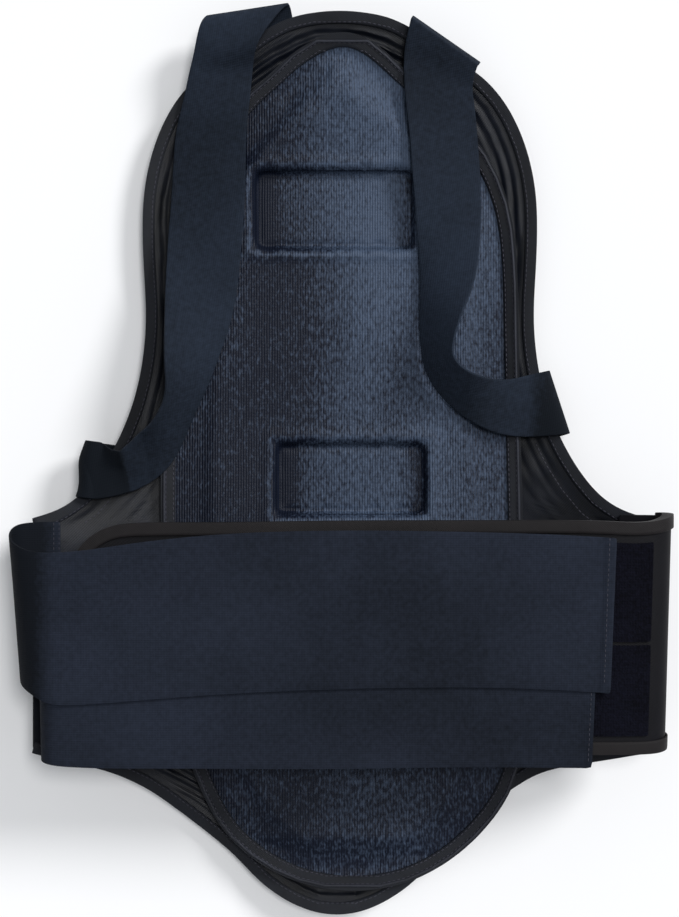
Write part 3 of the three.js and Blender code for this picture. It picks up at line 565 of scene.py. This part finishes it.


# how much a place on the liner is lifted near one window, and the painted sheen and shade it gets there
def windowEffect(place, window, seam, paintedLight):
    fromSide = abs(place.x - window["x"]) - window["width"] / 2
    fromEnd = abs(place.y - window["y"]) - window["height"] / 2
    if max(fromSide, fromEnd) > seam["reach"]:
        return 0, 0
    # the seam wavers where the cloth gathers
    fromEnd += seam["waver"] * drift(place.x / seam["waverLength"], window["layer"], 1)
    fromSide += seam["sideWaver"] * drift(place.y / seam["waverLength"], window["layer"], 6)
    beyond = math.hypot(max(fromSide, 0), max(fromEnd, 0)) + min(max(fromSide, fromEnd), 0)
    lift = seam["lipHeight"] * bell(beyond - seam["lipPlace"], seam["lipWidth"])
    lift -= seam["grooveDepth"] * bell(beyond - seam["groovePlace"], seam["grooveWidth"])
    # gathers are strongest at the edge
    near = 1 - fade(abs(fromEnd), 0, seam["gatherReach"])
    near *= 1 - fade(fromSide, -seam["gatherEnds"], seam["gatherEnds"])
    pull = drift(place.x / seam["gatherPitch"], window["layer"] + fromEnd / seam["gatherLength"])
    lift += seam["gatherHeight"] * near * pull
    # painted highlights on the lips, strongest on the left and lower ones, a painted sheen inside, and
    # painted shade at the inside's two ends
    shining = place.x < window["x"] if fromSide > fromEnd else place.y < window["y"]
    bright = (paintedLight["lips"] if shining else paintedLight["dimLips"]) * bell(beyond - paintedLight["lipPlace"], paintedLight["lipWidth"])
    if fromEnd < 0:
        ends = fade(fromSide, -paintedLight["endReach"], 0) * (1 - fade(fromSide, 0, paintedLight["endFade"]))
        bright += paintedLight["inside"] * fade(-fromSide, 0, paintedLight["endReach"]) + paintedLight["ends"] * ends
    return lift, bright


def makeLiner(look):
    piece = openCopy("liner_pad")
    bpy.ops.object.mode_set(mode="OBJECT")
    applyModifier(piece, "REMESH", mode="VOXEL", voxel_size=look["voxel"], use_smooth_shade=True)
    applyModifier(piece, "SMOOTH", factor=look["smoothShare"], iterations=look["smoothPasses"])
    paintedLight = piece.data.attributes.new("paintedLight", "FLOAT", "POINT").data
    # painted shade over all of the liner first; the faces turned up then get painted sheen and shade
    for vertex in piece.data.vertices:
        paintedLight[vertex.index].value = paintedLightLook["paintedShade"]
    for vertex in facingUp(piece, 0.3):
        place = vertex.co.copy()
        toRight = fade(place.x, *paintedLightLook["across"])
        bright = toRight * fade(place.y, *paintedLightLook["along"])
        bright *= 1 - paintedLightLook["rightFade"] * fade(place.x, *paintedLightLook["right"])
        bright = mix(paintedLightLook["paintedShade"], paintedLightLook["bright"], bright)
        bright += paintedLightLook["top"] * toRight * fade(place.y, *paintedLightLook["topFrom"])
        # random diagonal streaks of painted sheen
        sweepAcross, sweepAlong = paintedLightLook["sweepLengths"]
        bright += paintedLightLook["sweeps"] * drift(place.x / sweepAcross, (place.y - place.x) / sweepAlong, 4)
        inside = linerRim.read(place)[0]
        lift = look["dentHeight"] * noise.noise(place / look["dentLength"]) * fade(inside, *look["dentsFrom"])
        # a faint crease near the top: a dip, with a painted highlight along it
        crease = bell(place.x - look["creaseX"], look["creaseWidth"])
        crease *= fade(place.y, look["creaseY"], look["creaseY"] + look["creaseFade"])
        lift -= look["creaseDepth"] * crease
        bright += paintedLightLook["crease"] * crease
        for window in windowPlaces:
            windowLift, windowBright = windowEffect(place, window, windowSeam, windowPaintedLight)
            lift += windowLift
            bright += windowBright
        vertex.co.z += lift
        paintedLight[vertex.index].value = bright
    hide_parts("liner_pad")
    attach(piece, "root")
    piece.data.materials.append(linerCloth)
    return piece


linerPad = makeLiner(linerLook)
print("liner done")

# straps
strapLook = {"rimAngle": 50, "rimFirmness": 0.8, "smoothing": 3, "flatWidth": 45 * mm,
             "waveHeight": 0.35 * mm, "wavePitch": 28 * mm}


def strap(node):
    piece = clothCopy(node, strapLook)
    for vertex in piece.data.vertices:
        vertex.co.z += strapLook["waveHeight"] * noise.noise(vertex.co / strapLook["wavePitch"])
    piece.data.materials.append(strapCloth)
    piece.data.attributes.new("paintedLight", "FLOAT", "POINT")
    return piece


leftStrap = strap("shoulder_strap_left")
rightStrap = strap("shoulder_strap_right")
# between its two folds the left strap lies a little further out, clear of the upper window
leftShift = {"shift": -3.5 * mm, "from": 20 * mm, "fullFrom": 70 * mm, "fullTo": 190 * mm, "to": 250 * mm}
for vertex in leftStrap.data.vertices:
    share = fade(vertex.co.y, leftShift["from"], leftShift["fullFrom"])
    share *= 1 - fade(vertex.co.y, leftShift["fullTo"], leftShift["to"])
    vertex.co.x += leftShift["shift"] * share
# the left strap's end is folded: a sharp ridge, a steep flank beyond it and a notch in the top edge, with
# painted shade on the flank
strapEnd = {"foldX": -131 * mm, "foldY": 5 * mm, "lean": 0.13, "rise": 7 * mm,
            "right": 14 * mm, "left": 24 * mm,
            "notch": 5 * mm, "notchWidth": 12 * mm, "notchFrom": (-8 * mm, 8 * mm),
            "top": 24 * mm, "topFade": 12 * mm, "inner": -100 * mm, "frontFrom": (18 * mm, 26 * mm),
            "corner": 7 * mm, "cornerX": -142 * mm, "cornerWidth": 18 * mm, "cornerFrom": (6 * mm, -20 * mm),
            "paintedShade": -0.45, "paintedShadeFrom": (-3 * mm, 2 * mm)}
strapPaintedShade = leftStrap.data.attributes["paintedLight"].data
for vertex in leftStrap.data.vertices:
    place = vertex.co
    if place.y > strapEnd["top"] or place.x > strapEnd["inner"]:
        continue
    across = place.x - strapEnd["foldX"] - (strapEnd["foldY"] - place.y) * strapEnd["lean"]
    width = strapEnd["right"] if across > 0 else strapEnd["left"]
    firm = fade(place.z, *strapEnd["frontFrom"]) * fade(strapEnd["top"] - place.y, 0, strapEnd["topFade"])
    edge = max(0, 1 - abs(across) / strapEnd["notchWidth"]) * fade(place.y, *strapEnd["notchFrom"])
    place.z += strapEnd["rise"] * max(0, 1 - abs(across) / width) * firm
    place.y -= strapEnd["notch"] * edge * firm
    corner = fade(strapEnd["cornerX"] - place.x, 0, strapEnd["cornerWidth"])
    corner *= fade(place.y, *strapEnd["cornerFrom"])
    place.x += strapEnd["corner"] * corner
    # painted shade on the flank beyond the fold
    strapPaintedShade[vertex.index].value = strapEnd["paintedShade"] * fade(-across, *strapEnd["paintedShadeFrom"])
# the right strap's end turns down over the panel's side and gets painted shade there
endTurn = {"from": 108 * mm, "to": 124 * mm, "below": 80 * mm, "paintedShade": -0.3}
rightPaintedShade = rightStrap.data.attributes["paintedLight"].data
for vertex in rightStrap.data.vertices:
    if vertex.co.y < endTurn["below"]:
        rightPaintedShade[vertex.index].value = endTurn["paintedShade"] * fade(vertex.co.x, endTurn["from"], endTurn["to"])
print("straps done")

# belt: the same slow waves and finer folds move all its layers together, so that they stay apart
beltLook = {"rimAngle": 50, "rimFirmness": 0.85, "smoothing": 3, "frontFrom": (40 * mm, 58 * mm),
            "waveHeight": 0.7 * mm, "waveLengths": (70 * mm, 50 * mm),
            "foldHeight": 0.315 * mm, "foldLengths": (18 * mm, 110 * mm),
            "turnX": (-164 * mm, -186 * mm), "turnPaintedShade": -0.45}


def waveBelt(piece, look):
    for vertex in piece.data.vertices:
        place = vertex.co
        waveAcross, waveDown = look["waveLengths"]
        foldAcross, foldDown = look["foldLengths"]
        wave = look["waveHeight"] * drift(place.x / waveAcross, place.y / waveDown, 3)
        wave += look["foldHeight"] * drift(place.x / foldAcross, place.y / foldDown, 7)
        place.z += wave * fade(place.z, *look["frontFrom"])


hemLook = {"height": 0.8 * mm, "lean": 0.04, "step": (-0.5 * mm, 1 * mm)}


# the bands' right ends are turned back into a thicker hem, right of a slightly leaning line
def raiseHem(piece, x, y):
    for vertex in facingUp(piece, 0.5):
        beyond = vertex.co.x - x - (vertex.co.y - y) * hemLook["lean"]
        vertex.co.z += hemLook["height"] * fade(beyond, *hemLook["step"])


beltFlap = clothCopy("belt_flap", beltLook)
upperPatch = clothCopy("loop_patch_upper", beltLook)
lowerPatch = clothCopy("loop_patch_lower", beltLook)
upperBand = clothCopy("belt_elastic_upper", beltLook)
lowerBand = clothCopy("belt_elastic_lower", beltLook)
patchPiece = {"finish": loopPile, "slot": "loop_cloth", "held": "laid"}
bandPiece = {"finish": elasticCloth, "slot": "elastic", "held": "folded"}
beltPieces = [
    {"piece": beltFlap, "finish": flapCloth, "slot": "base_cloth"},
    {"piece": upperPatch, **patchPiece, "flat": (56 * mm, 145 * mm)},
    {"piece": lowerPatch, **patchPiece, "flat": (53 * mm, 142 * mm)},
    {"piece": upperBand, **bandPiece, "flat": (91 * mm, 394 * mm)},
    {"piece": lowerBand, **bandPiece, "flat": (91 * mm, 375 * mm)},
]
for part in beltPieces:
    waveBelt(part["piece"], beltLook)
    part["piece"].data.materials.append(part["finish"])
# painted shade on the bands' left turns
for band in (upperBand, lowerBand):
    bandPaintedShade = band.data.attributes.new("paintedLight", "FLOAT", "POINT")
    for vertex in band.data.vertices:
        bandPaintedShade.data[vertex.index].value = beltLook["turnPaintedShade"] * fade(vertex.co.x, *beltLook["turnX"])
waveBelt(flapTape, beltLook)
raiseHem(upperBand, 152 * mm, -40 * mm)
raiseHem(lowerBand, 142 * mm, -129 * mm)
print("belt done")

# the liner's tape has a corded edge, coloured paler than the tape: a painted highlight along the cord
pipingLook = {"radius": 0.9 * mm, "roundness": 2, "inset": 0.6 * mm, "lift": 0.1 * mm}


def makePiping(look):
    rim = dropOnto(linerTape, linerRim.inset(look["inset"]), look["lift"])
    piece, line = curveThrough("liner_piping", rim)
    piece.data.bevel_depth = look["radius"]
    piece.data.bevel_resolution = look["roundness"]
    line.use_cyclic_u = True
    chooseOnly(piece)
    bpy.ops.object.convert(target="MESH")
    piece = bpy.context.active_object
    smoothShade(piece, 80)
    piece.data.materials.append(pipingTape)
    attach(piece, "root")


makePiping(pipingLook)
print("piping done")

# seams
seamPlaces = {"tapeInset": 4.2 * mm, "linerOuter": 1.6 * mm, "linerInner": 6.1 * mm, "lift": 0.1 * mm}
tapeRun = baseRim.inset(seamPlaces["tapeInset"])
stitchRow("seam_tape_upper", dropOnto(upperTape, tapeRun, seamPlaces["lift"]))
stitchRow("seam_tape_lower", dropOnto(lowerTape, tapeRun, seamPlaces["lift"]))
stitchRow("seam_tape_upper_back", dropOnto(upperTape, tapeRun, seamPlaces["lift"], fromBelow=True))
stitchRow("seam_tape_lower_back", dropOnto(lowerTape, tapeRun, seamPlaces["lift"], fromBelow=True))
for name, inset in (("seam_liner_outer", "linerOuter"), ("seam_liner_inner", "linerInner")):
    stitchRow(name, dropOnto(linerTape, linerRim.inset(seamPlaces[inset]), seamPlaces["lift"]))


def within(value, limits):
    return limits[0] < value < limits[1]


# places evenly on a straight line
def straightRun(first, last, steps):
    return [first.lerp(last, step / steps) for step in range(steps + 1)]


# a seam along each wing, inside its curved edge
wingSeam = {"inset": 13 * mm, "x": (116 * mm, 157 * mm), "y": (-38 * mm, 16 * mm)}
wingRun = [place for place in baseRim.inset(wingSeam["inset"])
           if within(abs(place.x), wingSeam["x"]) and within(place.y, wingSeam["y"])]
stitchRow("seam_wings", dropOnto(basePanel, wingRun, seamPlaces["lift"]))
# hems at the bands' right ends and the seams of their left ends, inside the belt's turn: each row's top and
# bottom in plan and the height that it is dropped from, all in millimetres
bandSeams = {
    "upper": {"piece": upperBand, "from": 300, "ends": [((154, -40), (150.5, -127))]},
    "lower": {"piece": lowerBand, "from": 300, "ends": [((143.5, -129), (141.5, -174))]},
    "upper_rear": {"piece": upperBand, "from": 50,
                   "ends": [((-171, -29), (-171, -120)), ((-168, -29), (-168, -120))]},
}
for name, seam in bandSeams.items():
    for number, (top, bottom) in enumerate(seam["ends"]):
        places = straightRun(Vector((*top, 0)) * mm, Vector((*bottom, 0)) * mm, 60)
        found = dropOnto(seam["piece"], places, seamPlaces["lift"], startHeight=seam["from"] * mm)
        stitchRow("seam_band_%s_%d" % (name, number), found, bandThread)
# rows that hold the straps' ends to the panel's back, from one side of the strap to the other
strapSeams = {
    "right_head": {"strap": rightStrap, "from": (60 * mm, 220 * mm), "to": (29 * mm, 235 * mm)},
    "left_head": {"strap": leftStrap, "from": (-29 * mm, 248 * mm), "to": (-69 * mm, 241 * mm)},
    "right_side": {"strap": rightStrap, "from": (112 * mm, 44 * mm), "to": (118.5 * mm, 11 * mm)},
    "left_side": {"strap": leftStrap, "from": (-131 * mm, 3 * mm), "to": (-141 * mm, -24 * mm)},
}
for name, seam in strapSeams.items():
    places = straightRun(Vector((*seam["from"], 0)), Vector((*seam["to"], 0)), 40)
    found = dropOnto(seam["strap"], places, seamPlaces["lift"], fromBelow=True)
    stitchRow("seam_strap_" + name, found, bandThread)
print("seams done")

# floor, light and camera
stageLook = {"floorSize": 60, "floorColor": (0.9, 0.9, 0.91, 1), "floorRoughness": 0.9,
             "fillColor": (0.92, 0.96, 1, 1), "fillStrength": 0.34, "seenStrength": 0.97,
             "sunSize": 17, "keyStrength": 2.1, "topStrength": 1.4,
             "sensor": 36, "lens": 80.6, "cameraPlace": (-1.5 * mm, 0.9 * mm, 1.25)}
bpy.ops.object.select_all(action="DESELECT")
bpy.ops.mesh.primitive_plane_add(size=stageLook["floorSize"], location=(0, 0, 0))
floor = bpy.context.active_object
floor.name = "floor"
paleFloor = bpy.data.materials.new("paleFloor")
paleFloor.use_nodes = True
floorSurface = paleFloor.node_tree.nodes["Principled BSDF"]
floorSurface.inputs["Base Color"].default_value = stageLook["floorColor"]
floorSurface.inputs["Roughness"].default_value = stageLook["floorRoughness"]
floor.data.materials.append(paleFloor)

# the room lights softly, and looks as pale as the floor
room = bpy.data.worlds.new("room")
room.use_nodes = True
roomNodes = room.node_tree.nodes
roomLink = room.node_tree.links.new
roomFill = roomNodes["Background"]
roomFill.inputs["Color"].default_value = stageLook["fillColor"]
roomFill.inputs["Strength"].default_value = stageLook["fillStrength"]
roomSeen = roomNodes.new("ShaderNodeBackground")
roomSeen.inputs["Strength"].default_value = stageLook["seenStrength"]
roomPath = roomNodes.new("ShaderNodeLightPath")
roomMix = roomNodes.new("ShaderNodeMixShader")
roomLink(roomPath.outputs["Is Camera Ray"], roomMix.inputs[0])
roomLink(roomFill.outputs[0], roomMix.inputs[1])
roomLink(roomSeen.outputs[0], roomMix.inputs[2])
roomLink(roomMix.outputs[0], roomNodes["World Output"].inputs["Surface"])
bpy.context.scene.world = room


# a sun seen from the middle of the floor in the given direction
def softLight(name, direction, strength):
    lamp = bpy.data.lights.new(name, "SUN")
    lamp.angle = math.radians(stageLook["sunSize"])
    lamp.energy = strength
    light = bpy.data.objects.new(name, lamp)
    light.location = direction
    light.rotation_euler = (-Vector(direction)).to_track_quat("-Z", "Y").to_euler()
    bpy.context.collection.objects.link(light)


softLight("keyLight", (1.15, 0.85, 0.95), stageLook["keyStrength"])
softLight("topLight", (0.35, 0.3, 1.7), stageLook["topStrength"])

camera = bpy.data.cameras.new("camera")
camera.sensor_width = stageLook["sensor"]
camera.lens = stageLook["lens"]
cameraPlace = bpy.data.objects.new("camera", camera)
cameraPlace.location = stageLook["cameraPlace"]
bpy.context.collection.objects.link(cameraPlace)
bpy.context.scene.camera = cameraPlace
bpy.context.scene.view_settings.view_transform = "Standard"

print("scene done")
